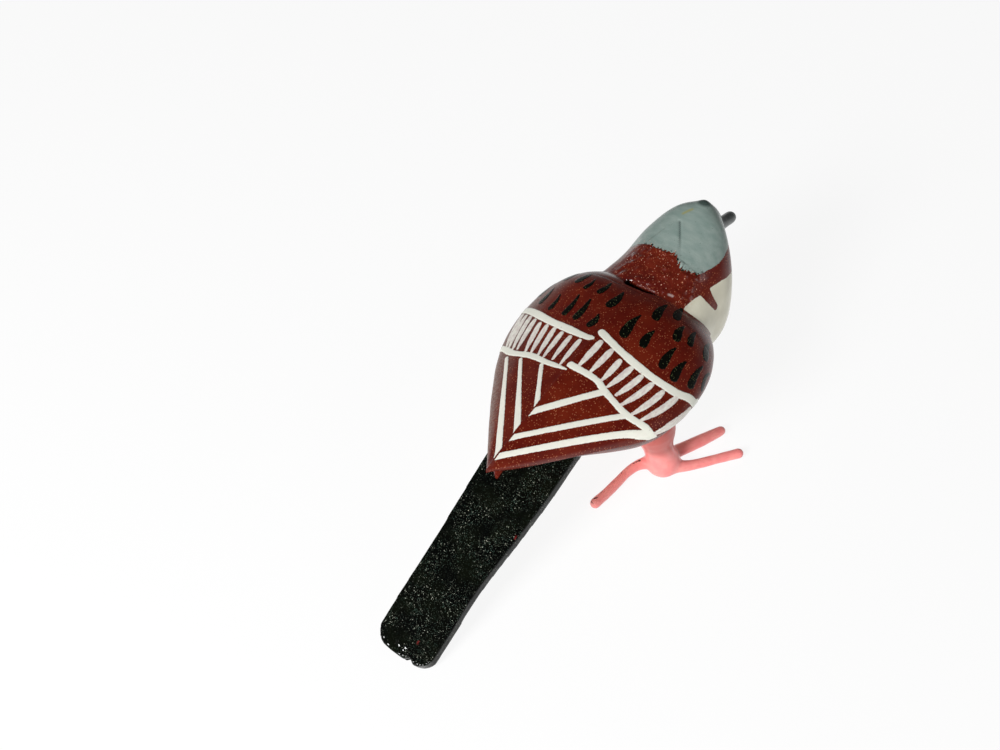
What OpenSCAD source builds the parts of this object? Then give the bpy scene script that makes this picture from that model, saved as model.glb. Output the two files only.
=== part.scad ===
// Bird-shaped vessel flute on two wire feet and its tail.
// The bird faces +Y, its right side is +X and Z is up. The origin is on the ground, midway between
// the beak's tip and the tail's end. All sizes are in millimetres. The parts are drawn from a start
// under the body, close to the origin, and centred() moves the whole bird onto the origin.

/* [Body] */
// Width of the body over the folded wings
body_w = 52; // [48:1:56]
// Height of the back's highest point above the ground
ridge_h = 52.3; // [50:0.1:54]
// Height of the belly's lowest point above the ground
belly_h = 12.5; // [11:0.5:14]
// Level of the widest line, where the wings end
widest_h = 39.5; // [39:0.5:40]
// How far behind the start the wing points end
wing_tip_y = 38; // [36:1:40]
// How far ahead of the start the breast ends
breast_y = 48; // [47:1:49]
// Thickness of the carved wing covers
wing_t = 2.2; // [1.8:0.1:2.6]
// Thickness of the wall round the sound chamber
wall_t = 4.5; // [4:0.5:5.5]

/* [Tail] */
// Slope of the tail board
tail_pitch = 28; // [27:0.1:29.5]
// Width of the tail near its free end
tail_end_w = 16.4; // [15:0.2:18]
// Width of the tail where it enters the body
tail_root_w = 20.4; // [19:0.2:22]
// Length of the tail board, with the part that is inside the body
tail_len = 71; // [69:1:72]
// Thickness of the lower tail board
floor_t = 2.4; // [2.2:0.1:2.6]
// Thickness of the upper tail board
roof_t = 1.2; // [1:0.1:1.4]
// How far behind the start the tail ends
tail_end_y = 72; // [71:0.1:73]

/* [Whistle] */
// Width of the windway
windway_w = 9; // [8:0.5:10]
// Height of the windway at the tail's end
windway_h = 1.6; // [1.4:0.1:1.8]
// Height of the windway where it meets the window
slot_h = 1.1; // [0.9:0.1:1.3]
// Length of the window
window_len = 4.6; // [4:0.2:5]
// Usual radius of the finger holes
finger_r = 2.8; // [2.5:0.1:3]

/* [Head] */
// Height of the crown above the ground
crown_h = 61.2; // [60:0.2:62]
// Half width of the neck and breast
neck_half_w = 15; // [14:0.2:15.6]
// How far ahead of the start the face ends
face_y = 59.5; // [59:0.1:60]
// How far ahead of the start the beak ends
beak_tip_y = 70; // [69:0.1:71]
// Radius of the beak near its rounded tip
beak_r = 1.65; // [1.5:0.05:1.8]
// Radius of each eye bead
eye_r = 1.35; // [1.2:0.05:1.5]

/* [Legs] */
// Distance from the middle plane to the hub of each foot
ankle_x = 15.8; // [15.4:0.1:16.2]
// How far ahead of the start the hubs are
ankle_y = 18.1; // [17.8:0.1:18.4]
// Radius of the hub of a foot
hub_r = 4.6; // [4.4:0.1:4.8]
// Radius of a painted toe
toe_r = 1.4; // [1.3:0.05:1.45]
// Radius of the leg wire
wire_r = 1.1; // [0.9:0.1:1.2]

/* [Hidden] */

brown = [0.34, 0.10, 0.06];
black = [0.05, 0.05, 0.05];
grey = [0.50, 0.55, 0.54];
dark_grey = [0.27, 0.29, 0.29];
white = [0.88, 0.87, 0.81];
pink = [0.93, 0.54, 0.54];
bare_wood = [0.72, 0.55, 0.36];
steel = [0.55, 0.55, 0.56];

big = 200;
stations = 26;
ring_points = 36;

// Places along the bird
highest_y = 14;
lowest_y = 24;
rump_joint_y = -8;
wing_front_y = 22;
seam_h = 36.5;
lip_h = widest_h - 0.8;
chamber_rear_y = -6;
chamber_front_y = 31;
body_len = wing_tip_y + breast_y;

// Half width of the body at y, without any offset
function half_w(y) =
    let (u = min(max((y + wing_tip_y) / body_len, 0), 1))
    body_w / 2 * pow(max(sin(180 * pow(u, 1.27)), 0), 0.8);

// Level of the widest line at y
function mid_h(y) =
    y < highest_y
    ? widest_h + 1.4 * pow((highest_y - y) / (highest_y + wing_tip_y), 2)
    : widest_h - 13 * pow(max(y - 20, 0) / (breast_y - 20), 2);

// Height of the back's ridge at y
function top_h(y) =
    y < highest_y
    ? ridge_h - (ridge_h - 41.5) * pow((highest_y - y) / (highest_y + wing_tip_y), 1.6)
    : ridge_h - (ridge_h - 26.9) * pow((y - highest_y) / (breast_y - highest_y), 2.8);

// Height of the underside at y
function bottom_h(y) =
    y < lowest_y
    ? belly_h + (40.3 - belly_h) * pow((lowest_y - y) / (lowest_y + wing_tip_y), 1.25)
    : belly_h + (32 - belly_h) * pow((y - lowest_y) / (breast_y - lowest_y), 1.8);

// Goes smoothly from 0 to 1 while u does
function smooth(u) = let (v = min(max(u, 0), 1)) v * v * (3 - 2 * v);

// How round the back is at y: 0 is a roof with straight sides, 1 is an ellipse
function roundness(y) = 0.35 + 0.65 * smooth((y + 2) / 26);

// One ring of the body's surface, drawn in by the distance under
function body_ring(y, under) =
    let (
        w = max(half_w(y) - 0.8 * under, 0.15),
        mid = mid_h(y),
        rise = max(top_h(y) - mid - under, 0.15),
        drop = max(mid - bottom_h(y) - 0.5 * under, 0.15),
        s = roundness(y)
    )
    [for (i = [0 : ring_points - 1])
        let (
            a = 360 * i / ring_points,
            q = abs(sin(a)),
            c = sqrt(1 - q * q),
            up = rise * ((1 - s) * (1 - q) + s * c)
        )
        [w * sin(a), y, mid + (cos(a) >= 0 ? up : -drop * c)]];

// The skin under the wings lies deeper than the outer surface and comes up to it at the shoulders
function cover(y, depth) = depth * (1 - smooth((y - 14) / 12));

// A closed solid through rings of the same number of points
module loft(rings) {
    n = len(rings[0]);
    m = len(rings);
    points = [for (ring = rings) each ring];
    sides = [for (j = [0 : m - 2], i = [0 : n - 1]) each [
        [j * n + i, (j + 1) * n + i, (j + 1) * n + (i + 1) % n],
        [j * n + i, (j + 1) * n + (i + 1) % n, j * n + (i + 1) % n]
    ]];
    first = [[for (i = [0 : n - 1]) i]];
    last = [[for (i = [0 : n - 1]) m * n - 1 - i]];
    polyhedron(points = points, faces = concat(sides, first, last), convexity = 6);
}

module body_solid(depth = 0) {
    loft([for (j = [0 : stations])
        let (
            u = j / stations,
            y = -wing_tip_y + body_len * (0.004 + 0.992 * u)
        )
        body_ring(y, cover(y, depth))]);
}

module chamber() {
    loft([for (j = [0 : 12])
        let (
            v = j / 12,
            y = chamber_rear_y + (chamber_front_y - chamber_rear_y) * v,
            ends = 5 * pow(abs(2 * v - 1), 6)
        )
        body_ring(y, wing_t + wall_t + ends)]);
}

module above(h) {
    translate([-big / 2, -big / 2, h]) cube(big);
}

module below(h) {
    translate([-big / 2, -big / 2, h - big]) cube(big);
}

module ahead_of(y) {
    translate([-big / 2, y, -big / 2]) cube(big);
}

module behind(y) {
    translate([-big / 2, y - big, -big / 2]) cube(big);
}

// --- Tail: its own frame starts at the free end, runs up the slope along Y, and lies on Z = 0 ---

tail_t = floor_t + roof_t;

module on_tail() {
    translate([0, -tail_end_y + tail_t * sin(tail_pitch), 0]) rotate([tail_pitch, 0, 0]) children();
}

// Outline of the tail board, seen square on: cut by hand, so its right edge is hollow and its end is nicked
module tail_outline(length) {
    left_x = tail_end_w / 2 + 1.1;
    right_x = tail_end_w / 2 - 0.6;
    root_x = tail_root_w / 2;
    difference() {
        polygon([
            [-left_x, 4.2], [-left_x + 2.1, 1.3], [-left_x + 4.6, 0.1], [-left_x + 6.4, 0],
            [right_x - 3.8, 0], [right_x - 2.3, 0.4], [right_x - 1, 1.3], [right_x - 0.1, 2.5],
            [right_x + 0.1, 3.8], [right_x, 13], [right_x - 0.3, 18], [right_x - 0.1, 25],
            [right_x + 0.6, 32], [root_x - 0.5, 50], [root_x, 60], [root_x, length], [-root_x, length], [-root_x, 52]
        ]);
        translate([2.2, -0.6]) circle(1.5, $fn = 24);
    }
}

module windway() {
    translate([-windway_w / 2, -1, floor_t - windway_h]) cube([windway_w, tail_len + 2, windway_h]);
}

module tail_boards() {
    on_tail() linear_extrude(tail_t) tail_outline(tail_len);
}

// --- Head and neck: rings along Y, from the shoulders to the face ---

// Each row is a place along Y and, there, the half width, the level of the widest line, the top and the bottom
head_rows = [
    [22, neck_half_w + 1.6, 39.5, crown_h - 13, 17],
    [31, neck_half_w + 1.2, 38.2, crown_h - 9.6, 16.4],
    [38, neck_half_w + 0.4, 37, crown_h - 6.3, 17],
    [45, neck_half_w, 36.4, crown_h - 2.7, 20.5],
    [51, neck_half_w - 3.1, 38.6, crown_h, 29],
    [55.4, neck_half_w - 8.6, 45, crown_h - 1, 40],
    [58.2, neck_half_w - 11.6, 50, crown_h - 5, 46],
    [face_y, 0.4, 51.2, 51.6, 50.8]
];

// A smooth curve through the rows: t counts rows, with the fraction between them
function row_at(t) =
    let (
        last = len(head_rows) - 1,
        i = min(floor(t), last - 1),
        f = t - i,
        p0 = head_rows[max(i - 1, 0)],
        p1 = head_rows[i],
        p2 = head_rows[i + 1],
        p3 = head_rows[min(i + 2, last)]
    )
    0.5 * (2 * p1 + (p2 - p0) * f + (2 * p0 - 5 * p1 + 4 * p2 - p3) * f * f
        + (3 * p1 - p0 - 3 * p2 + p3) * f * f * f);

// Carved by hand: above its widest line the head is squarer than an ellipse, most of all on the left
function head_ring(t, grow) =
    let (r = row_at(t))
    [for (i = [0 : ring_points - 1])
        let (
            a = 360 * i / ring_points,
            c = cos(a),
            k = c < 0 ? 1 : (a < 180 ? 0.92 : 0.77),
            across = sign(sin(a)) * pow(abs(sin(a)), k),
            up = c < 0 ? c : pow(c, k)
        )
        [(r[1] + grow) * across, r[0], r[2] + up * (c >= 0 ? r[3] - r[2] + grow : r[2] - r[4] + grow)]];

module neck_and_head(grow = 0) {
    steps = 21;
    loft([for (j = [0 : steps]) head_ring((len(head_rows) - 1) * j / steps, grow)]);
}

// The head and neck block is scooped out behind to fit the shoulders, and sits on the belly shell
module head_solid() {
    difference() {
        intersection() {
            neck_and_head();
            above(seam_h);
        }
        skin();
    }
}

dowel_r = 2;
dowel_len = 17;
dowel_lean = 36;

module dowel() {
    translate([0, 36, 38.9]) rotate([-dowel_lean, 0, 0]) cylinder(r = dowel_r, h = dowel_len, $fn = 32);
}

beak_slope = 13;
beak_len = 12.4;
beak_root = 4;

module on_beak() {
    translate([0, beak_tip_y, 46.4]) rotate([90 + beak_slope, 0, 0]) children();
}

// --- Legs: all are drawn on the right side, and the left side mirrors them ---

leg_len = 18.5;
leg_back = 8;
leg_in = 11;
inner_root = [ankle_x, ankle_y + 3.4, 2.8];
outer_root = [ankle_x + 3.4, ankle_y + 0.4, 2.7];
hind_root = [ankle_x - 2.2, ankle_y - 2, 3.1];
hind_bend = [[11.2, 13.1, 2.7], [9.7, 9, toe_r]];
inner_tip = [21.7, 38.3, toe_r];
outer_tip = [29.8, 34.3, toe_r];
hind_tip = [8.8, -5.1, toe_r];

// The leg's own frame has its origin in the hub of the foot and Z up along the leg
module on_leg() {
    translate([ankle_x, ankle_y, 2.6]) rotate([leg_back, -leg_in, 0]) children();
}

// A round rod with domed ends through a list of points
module rod(path, r, sides = 14) {
    n = len(path);
    dirs = [for (i = [0 : n - 1])
        let (d = path[min(i + 1, n - 1)] - path[max(i - 1, 0)])
        d / norm(d)];
    side = [for (d = dirs) let (s = cross(d, [0, 0, 1])) s / norm(s)];
    lift = [for (i = [0 : n - 1]) cross(side[i], dirs[i])];
    function ring(i, shift, k) =
        [for (a = [0 : sides - 1])
            path[i] + dirs[i] * shift
            + r * k * (cos(360 * a / sides) * side[i] + sin(360 * a / sides) * lift[i])];
    dome = [15, 40, 65];
    loft(concat(
        [for (a = dome) ring(0, r * (1 - cos(a)), sin(a))],
        [for (i = [1 : n - 2]) ring(i, 0, 1)],
        [for (j = [2 : -1 : 0]) ring(n - 1, r * (cos(dome[j]) - 1), sin(dome[j]))]
    ));
}

// Points along a smooth curve from a to c that leaves towards b
function bend(a, b, c, steps) =
    [for (i = [0 : steps])
        let (t = i / steps)
        a * (1 - t) * (1 - t) + b * 2 * t * (1 - t) + c * t * t];

// A straight round rod with domed ends
module capsule(from, to, r) {
    d = to - from;
    len = norm(d);
    translate(from) rotate([0, acos(d[2] / len), atan2(d[1], d[0])]) rotate_extrude($fn = 32)
        polygon(concat(
            [for (a = [0 : 18 : 90]) [r * sin(a), -r * cos(a)]],
            [for (a = [90 : -18 : 0]) [r * sin(a), len + r * cos(a)]]
        ));
}

module inner_toe() { capsule(inner_root, inner_tip, toe_r); }
module outer_toe() { capsule(outer_root, outer_tip, toe_r); }

// The hind toe is bent where it comes down to the ground
module hind_toe() {
    path = concat([hind_root], bend(hind_bend[0], hind_bend[1], hind_tip, 7));
    rod(path, toe_r);
}

module leg_wire() {
    on_leg() cylinder(r = wire_r, h = leg_len, $fn = 32);
}

// Putty thigh that swells from the hub of the foot up into the belly
module thigh_shape() {
    on_leg() rotate_extrude($fn = 40) polygon([
        [0, 3], [3.9, 3], [3.75, 5.2], [3.9, 7.2], [4.5, 9.4], [5.3, 11.6],
        [5.9, 13.8], [5.9, 16.4], [4.8, 19], [2.8, 20.8], [0, 21.4]
    ]);
}

// Hub of the foot, flat underneath
module foot_shape() {
    translate([ankle_x, ankle_y, 0]) rotate_extrude($fn = 40)
        polygon([
            [0, 0], [3, 0], [hub_r - 0.6, 1.3], [hub_r, 3], [hub_r - 0.2, 4.4], [hub_r - 0.8, 6], [2.6, 7.4], [0, 8]
        ]);
}

// Puts the origin midway between the beak's tip and the tail's end
module centred() {
    translate([0, (tail_end_y - beak_tip_y) / 2, 0]) children();
}

module both(side) {
    if (side > 0) children();
    else mirror([1, 0, 0]) children();
}

// --- Sub-parts ---

module skin() {
    body_solid(wing_t);
}

module back_shell() {
    color(brown) difference() {
        intersection() {
            skin();
            above(seam_h);
            ahead_of(rump_joint_y);
        }
        chamber();
        dowel();
        labium_shape();
    }
}

// The window is cut up through the belly as far as the windway
module window_cut() {
    on_tail() translate([-windway_w / 2, tail_len - 0.5, -24]) cube([windway_w, window_len + 0.5, 24 + floor_t]);
}

// Four finger holes of different sizes in the belly: x and y inside the chamber, and change of radius
hole_tilt = 22;
hole_places = [[7, 1, -0.4], [-7, 1, 0], [5, 28, 0.2], [-5, 28, -0.2]];

module finger_holes() {
    for (place = hole_places)
        translate([place[0], place[1], 30]) rotate([180, -sign(place[0]) * hole_tilt, 0])
            cylinder(r = finger_r + place[2], h = 30, $fn = 40);
}

module belly_shell() {
    color(white) difference() {
        intersection() {
            union() {
                skin();
                neck_and_head();
            }
            below(seam_h);
            ahead_of(rump_joint_y);
        }
        chamber();
        window_cut();
        labium_shape();
        finger_holes();
        tail_boards();
        for (side = [-1, 1]) both(side) leg_wire();
    }
}

module wing(side) {
    color(brown) intersection() {
        difference() {
            body_solid();
            skin();
        }
        above(lip_h);
        behind(wing_front_y);
        translate([side > 0 ? 0 : -big, -big / 2, -big / 2]) cube(big);
    }
}

module wing_left() { wing(-1); }
module wing_right() { wing(1); }

// Where both wing covers lie
module wing_space() {
    difference() {
        body_solid();
        skin();
        below(lip_h);
    }
}

// The spur under the wing points is part of this block
module rump_block() {
    color(brown) difference() {
        union() {
            intersection() {
                skin();
                behind(rump_joint_y);
            }
            translate([0, -32.6, 39]) rotate([168, 0, 0]) cylinder(r1 = 2.2, r2 = 0.5, h = 5.2, $fn = 24);
        }
        tail_boards();
        wing_space();
    }
}

module tail_floor() {
    color(black) on_tail() difference() {
        linear_extrude(floor_t) tail_outline(tail_len);
        windway();
    }
}

module tail_roof() {
    color(black) on_tail() translate([0, 0, floor_t]) linear_extrude(roof_t) tail_outline(tail_len);
}

module fipple_block() {
    low = floor_t - windway_h;
    high = floor_t - slot_h;
    color(bare_wood) on_tail() translate([-windway_w / 2, 0, 0]) rotate([90, 0, 90])
        linear_extrude(windway_w) polygon([[tail_len - 14, low], [tail_len, low], [tail_len, high]]);
}

// Side view of the sound edge in the tail's frame: the thin edge faces the windway
module labium_shape() {
    edge_s = tail_len + window_len;
    edge_t = floor_t - slot_h / 2;
    on_tail() translate([-windway_w / 2 - 1, 0, 0]) rotate([90, 0, 90]) linear_extrude(windway_w + 2)
        polygon([
            [edge_s, edge_t - 0.15], [edge_s, edge_t + 0.15], [edge_s + 3, edge_t + 0.6],
            [edge_s + 6, edge_t - 2], [edge_s + 3.4, -17], [edge_s + 0.6, -17], [edge_s + 0.6, -3]
        ]);
}

module labium() {
    color(bare_wood) intersection() {
        labium_shape();
        skin();
    }
}

module head() {
    color(grey) difference() {
        union() {
            head_solid();
            translate([-0.6, 53.4, crown_h - 0.6]) scale([2.2, 2.4, 1.5]) sphere(1, $fn = 24);
        }
        dowel();
        beak_shape();
        for (side = [-1, 1]) both(side) eye_bead();
    }
}

module neck_dowel() {
    color(bare_wood) dowel();
}

// Putty along the joint between the neck and the shoulders, open at the nape
module nape_filler() {
    color(brown) for (side = [-1, 1]) difference() {
        intersection() {
            neck_and_head(0.7);
            translate([side > 0 ? 3.5 : -3.5 - big, 27, 42]) cube([big, 4.5, big]);
        }
        neck_and_head();
        body_solid();
    }
}

module beak_shape() {
    on_beak() rotate_extrude($fn = 40) polygon(concat(
        [for (a = [0 : 15 : 90]) [beak_r * sin(a), beak_r - beak_r * cos(a)]],
        [[beak_r + 0.1, 6], [2.5, beak_len - 2], [1.6, beak_len], [1.6, beak_len + beak_root], [0, beak_len + beak_root]]
    ));
}

module beak() {
    color(dark_grey) beak_shape();
}

module eye_bead() {
    translate([4.7, 55.7, 50.8]) sphere(eye_r, $fn = 24);
}

module eye_left() { color(black) both(-1) eye_bead(); }
module eye_right() { color(black) both(1) eye_bead(); }

module thigh_putty(side) {
    color(pink) both(side) difference() {
        thigh_shape();
        skin();
        leg_wire();
        foot_shape();
    }
}

module foot_putty(side) {
    color(pink) both(side) difference() {
        foot_shape();
        leg_wire();
        inner_toe();
        outer_toe();
        capsule(hind_root, hind_bend[0], toe_r);
    }
}

module toe(side, which) {
    color(pink) both(side) {
        if (which == 0) inner_toe();
        else if (which == 1) outer_toe();
        else hind_toe();
    }
}

centred() back_shell();
centred() belly_shell();
centred() wing_left();
centred() wing_right();
centred() rump_block();
centred() tail_roof();
centred() tail_floor();
centred() fipple_block();
centred() labium();
centred() head();
centred() neck_dowel();
centred() nape_filler();
centred() beak();
centred() eye_left();
centred() eye_right();
centred() both(-1) color(steel) leg_wire();  // leg_wire_left
centred() both(1) color(steel) leg_wire();  // leg_wire_right
centred() thigh_putty(-1);  // thigh_putty_left
centred() thigh_putty(1);  // thigh_putty_right
centred() foot_putty(-1);  // foot_putty_left
centred() foot_putty(1);  // foot_putty_right
centred() toe(-1, 0);  // inner_toe_left
centred() toe(1, 0);  // inner_toe_right
centred() toe(-1, 1);  // outer_toe_left
centred() toe(1, 1);  // outer_toe_right
centred() toe(-1, 2);  // hind_toe_left
centred() toe(1, 2);  // hind_toe_right
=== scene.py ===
"""Looks of the bird-shaped ocarina: thick glossy paint over carved wood, putty and wire.

Forms are worked out in millimetres in the bird's own frame, which part.scad uses too, and in_frame() turns
them into the row frame's metres. The bird faces +Y and its right side is +X.
"""

import math

import bmesh
import bpy
import numpy as np
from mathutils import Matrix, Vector


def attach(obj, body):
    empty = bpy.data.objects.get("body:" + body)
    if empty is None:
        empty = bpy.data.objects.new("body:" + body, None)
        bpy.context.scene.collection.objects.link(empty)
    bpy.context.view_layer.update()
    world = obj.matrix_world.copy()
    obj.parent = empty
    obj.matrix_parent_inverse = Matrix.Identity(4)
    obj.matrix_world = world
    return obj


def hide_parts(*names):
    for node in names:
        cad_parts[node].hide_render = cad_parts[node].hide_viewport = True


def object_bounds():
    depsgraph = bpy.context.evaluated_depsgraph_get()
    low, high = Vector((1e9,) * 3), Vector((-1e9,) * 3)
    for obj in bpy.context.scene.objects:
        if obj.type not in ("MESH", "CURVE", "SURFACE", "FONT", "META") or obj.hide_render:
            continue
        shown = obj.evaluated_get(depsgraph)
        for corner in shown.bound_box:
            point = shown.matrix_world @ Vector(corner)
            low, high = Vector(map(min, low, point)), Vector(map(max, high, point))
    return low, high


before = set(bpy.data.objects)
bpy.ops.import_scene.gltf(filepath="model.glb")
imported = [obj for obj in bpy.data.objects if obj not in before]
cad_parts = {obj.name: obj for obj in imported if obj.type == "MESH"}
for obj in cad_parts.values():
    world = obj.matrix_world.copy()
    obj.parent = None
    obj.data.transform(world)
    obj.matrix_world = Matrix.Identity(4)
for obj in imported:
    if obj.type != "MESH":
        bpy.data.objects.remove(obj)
cad_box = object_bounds()

MM = 0.001
TAIL_END_Y = -72.0
SHIFT_Y = cad_box[0][1] / MM - TAIL_END_Y
random = np.random.RandomState(11)


# --- Camera, lights and floor ---

AZIMUTH = math.radians(38)
ELEVATION = math.radians(47)
DISTANCE = 0.4
TARGET = Vector((-0.0270, 0.0028, 0.0226))
LENS = 54.2
LIGHT_TARGET = Vector((0, 0, 0.03))
FLOOR_HALF = 4.0


def make_camera():
    back = Vector((
        math.sin(AZIMUTH) * math.cos(ELEVATION),
        -math.cos(AZIMUTH) * math.cos(ELEVATION),
        math.sin(ELEVATION),
    ))
    data = bpy.data.cameras.new("camera")
    data.lens = LENS
    data.sensor_width = 36
    camera = bpy.data.objects.new("camera", data)
    camera.location = TARGET + back * DISTANCE
    camera.rotation_euler = (math.pi / 2 - ELEVATION, 0, AZIMUTH)
    bpy.context.scene.collection.objects.link(camera)
    bpy.context.scene.camera = camera


def area_light(name, direction, distance, size, power):
    """A square light that stands in a direction from the bird and faces it."""
    data = bpy.data.lights.new(name, "AREA")
    data.size = size
    data.energy = power
    light = bpy.data.objects.new(name, data)
    away = Vector(direction).normalized()
    light.location = LIGHT_TARGET + away * distance
    light.rotation_euler = away.to_track_quat("Z", "Y").to_euler()
    bpy.context.scene.collection.objects.link(light)


def map_range(tree, value, low, high, to_low, to_high):
    """A node that carries value from one range to another, and keeps it within the second."""
    node = tree.nodes.new("ShaderNodeMapRange")
    tree.links.new(value, node.inputs["Value"])
    for name, limit in (("From Min", low), ("From Max", high), ("To Min", to_low), ("To Max", to_high)):
        node.inputs[name].default_value = limit
    return node.outputs[0]


def make_world():
    """Pale walls round a dim ceiling, so that the black paint stays black from above."""
    world = bpy.data.worlds.new("studio")
    world.use_nodes = True
    bpy.context.scene.world = world
    tree = world.node_tree
    background = tree.nodes["Background"]
    place = tree.nodes.new("ShaderNodeTexCoord")
    split = tree.nodes.new("ShaderNodeSeparateXYZ")
    tree.links.new(place.outputs["Generated"], split.inputs[0])
    level = map_range(tree, split.outputs["Z"], 0.05, 0.6, 0.4, 0.04)
    tree.links.new(level, background.inputs["Strength"])
    background.inputs["Color"].default_value = (1, 1, 1, 1)


def make_stage():
    make_camera()
    make_world()
    area_light("key", (0.0, -0.85, 0.53), 0.6, 0.16, 4.0)
    area_light("fill", (0.85, 0.05, 0.55), 0.8, 0.4, 0.6)
    floor_z = cad_box[0][2]
    mesh = bpy.data.meshes.new("floor")
    corners = [(x * FLOOR_HALF, y * FLOOR_HALF, floor_z) for x, y in ((-1, -1), (1, -1), (1, 1), (-1, 1))]
    mesh.from_pydata(corners, [], [(0, 1, 2, 3)])
    floor = bpy.data.objects.new("floor", mesh)
    bpy.context.scene.collection.objects.link(floor)
    paper = Paint("floor_paper")
    paper.set("Base Color", rgb(90, 90, 90))
    paper.set("Roughness", 0.9)
    paper.set("Specular IOR Level", 0.1)
    paper.set("Emission Color", (1, 1, 1, 1))
    paper.set("Emission Strength", 0.90)
    mesh.materials.append(paper.material)


# --- Materials ---

def rgb(red, green, blue):
    """A linear colour from the usual 0 to 255 values."""
    def linear(v):
        v /= 255
        return v / 12.92 if v <= 0.04045 else ((v + 0.055) / 1.055) ** 2.4
    return (linear(red), linear(green), linear(blue), 1)


class Paint:
    """A Principled material, and the few kinds of node that the paints are made of.

    Sizes of patterns are in millimetres.
    """

    def __init__(self, name):
        self.material = bpy.data.materials.new(name)
        self.material.use_nodes = True
        self.tree = self.material.node_tree
        self.shader = self.tree.nodes["Principled BSDF"]
        self.place = None

    def set(self, socket, value):
        self.shader.inputs[socket].default_value = value

    def feed(self, socket, source):
        self.tree.links.new(source, self.shader.inputs[socket])

    def put(self, socket, value):
        """Links or sets an input, whichever the value asks for."""
        if isinstance(value, bpy.types.NodeSocket):
            self.tree.links.new(value, socket)
        else:
            socket.default_value = value

    def where(self, stretch=(1, 1, 1)):
        """Object coordinates in millimetres."""
        if self.place is None:
            self.place = self.tree.nodes.new("ShaderNodeTexCoord").outputs["Object"]
        mapping = self.tree.nodes.new("ShaderNodeMapping")
        mapping.inputs["Scale"].default_value = tuple(s / MM for s in stretch)
        self.tree.links.new(self.place, mapping.inputs["Vector"])
        return mapping.outputs[0]

    def noise(self, size, detail=3, stretch=(1, 1, 1), roughness=0.55):
        node = self.tree.nodes.new("ShaderNodeTexNoise")
        node.inputs["Scale"].default_value = 1 / size
        node.inputs["Detail"].default_value = detail
        node.inputs["Roughness"].default_value = roughness
        self.tree.links.new(self.where(stretch), node.inputs["Vector"])
        return node.outputs["Fac"]

    def attribute(self, name):
        node = self.tree.nodes.new("ShaderNodeAttribute")
        node.attribute_name = name
        return node.outputs["Fac"]

    def math(self, operation, a, b=0.0):
        node = self.tree.nodes.new("ShaderNodeMath")
        node.operation = operation
        self.put(node.inputs[0], a)
        self.put(node.inputs[1], b)
        return node.outputs[0]

    def times(self, a, b):
        return self.math("MULTIPLY", a, b)

    def plus(self, a, b):
        return self.math("ADD", a, b)

    def ramp(self, value, low, high, to_low=0.0, to_high=1.0):
        return map_range(self.tree, value, low, high, to_low, to_high)

    def mix(self, factor, a, b):
        node = self.tree.nodes.new("ShaderNodeMix")
        node.data_type = "RGBA"
        self.put(node.inputs["Factor"], factor)
        self.put(node.inputs["A"], a)
        self.put(node.inputs["B"], b)
        return node.outputs["Result"]

    def flecks(self, size, share, radius):
        """Small round specks: 1 in a speck. share is how many of the cells have one."""
        cells = self.tree.nodes.new("ShaderNodeTexVoronoi")
        cells.inputs["Scale"].default_value = 1 / size
        self.tree.links.new(self.where(), cells.inputs["Vector"])
        split = self.tree.nodes.new("ShaderNodeSeparateColor")
        self.tree.links.new(cells.outputs["Color"], split.inputs[0])
        chosen = self.math("LESS_THAN", split.outputs[0], share)
        near = self.ramp(cells.outputs["Distance"], radius, radius * 0.6)
        bright = self.ramp(split.outputs[1], 0, 1, 0.35, 1)
        return self.times(self.times(chosen, near), bright)

    def ragged_edge(self, field, jitter, size=0.5):
        """A field of distances, unsettled by up to jitter so that a border at 0 comes out ragged."""
        unrest = self.ramp(self.noise(size, 3), 0.3, 0.7, -jitter, jitter)
        return self.plus(self.attribute(field), unrest)

    def bump(self, height, depth):
        """Bump from a height from 0 to 1 that stands depth millimetres high."""
        node = self.tree.nodes.new("ShaderNodeBump")
        node.inputs["Distance"].default_value = depth * MM
        self.tree.links.new(height, node.inputs["Height"])
        self.feed("Normal", node.outputs[0])

    def gloss(self, roughness, coat=0.6, coat_roughness=0.12):
        self.set("Roughness", roughness)
        self.set("Coat Weight", coat)
        self.set("Coat Roughness", coat_roughness)


EDGE = 0.05


def brown_coat(p):
    """Brown with dark brush streaks and pale orange specks of painted sparkle, under a pale painted sheen on
    the left.
    """
    brown = p.mix(p.ramp(p.noise(7, 2), 0.35, 0.7), rgb(86, 20, 12), rgb(104, 32, 16))
    streak = p.noise(0.9, 3, stretch=(1, 0.25, 1))
    brown = p.mix(p.ramp(streak, 0.55, 0.8, 0, 0.5), brown, rgb(64, 20, 14))
    # Pale orange specks: painted sparkle, the glints of the grainy gloss coat painted into the colour.
    painted_sparkle = p.flecks(0.42, 0.30, 0.42)
    brown = p.mix(p.times(painted_sparkle, 0.55), brown, rgb(196, 120, 84))
    # Pale mauve painted sheen on the left shoulder and the left of the neck: a painted reflection of the pale
    # surroundings at a grazing angle.
    painted_sheen = p.times(p.attribute("painted_sheen"), p.ramp(p.noise(0.5, 3), 0.3, 0.65, 0.3, 0.95))
    return p.mix(painted_sheen, brown, rgb(140, 126, 118))


def grey_coat(p):
    """Grey-green of the cap, with dirt, dark smears and the thin line of a crack."""
    wave = p.noise(1.6, 3, stretch=(0.3, 1, 1))
    cap = p.mix(p.ramp(wave, 0.3, 0.7), rgb(122, 140, 134), rgb(142, 156, 150))
    cap = p.mix(p.ramp(p.noise(0.7, 2), 0.70, 0.76, 0, 0.6), cap, rgb(80, 92, 90))
    brush = p.ramp(p.noise(0.8, 3, stretch=(1, 0.4, 1)), 0.3, 0.5)
    cap = p.mix(p.times(p.attribute("smear"), brush), cap, rgb(58, 62, 58))
    return p.mix(p.attribute("line"), cap, rgb(70, 84, 80))


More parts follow.
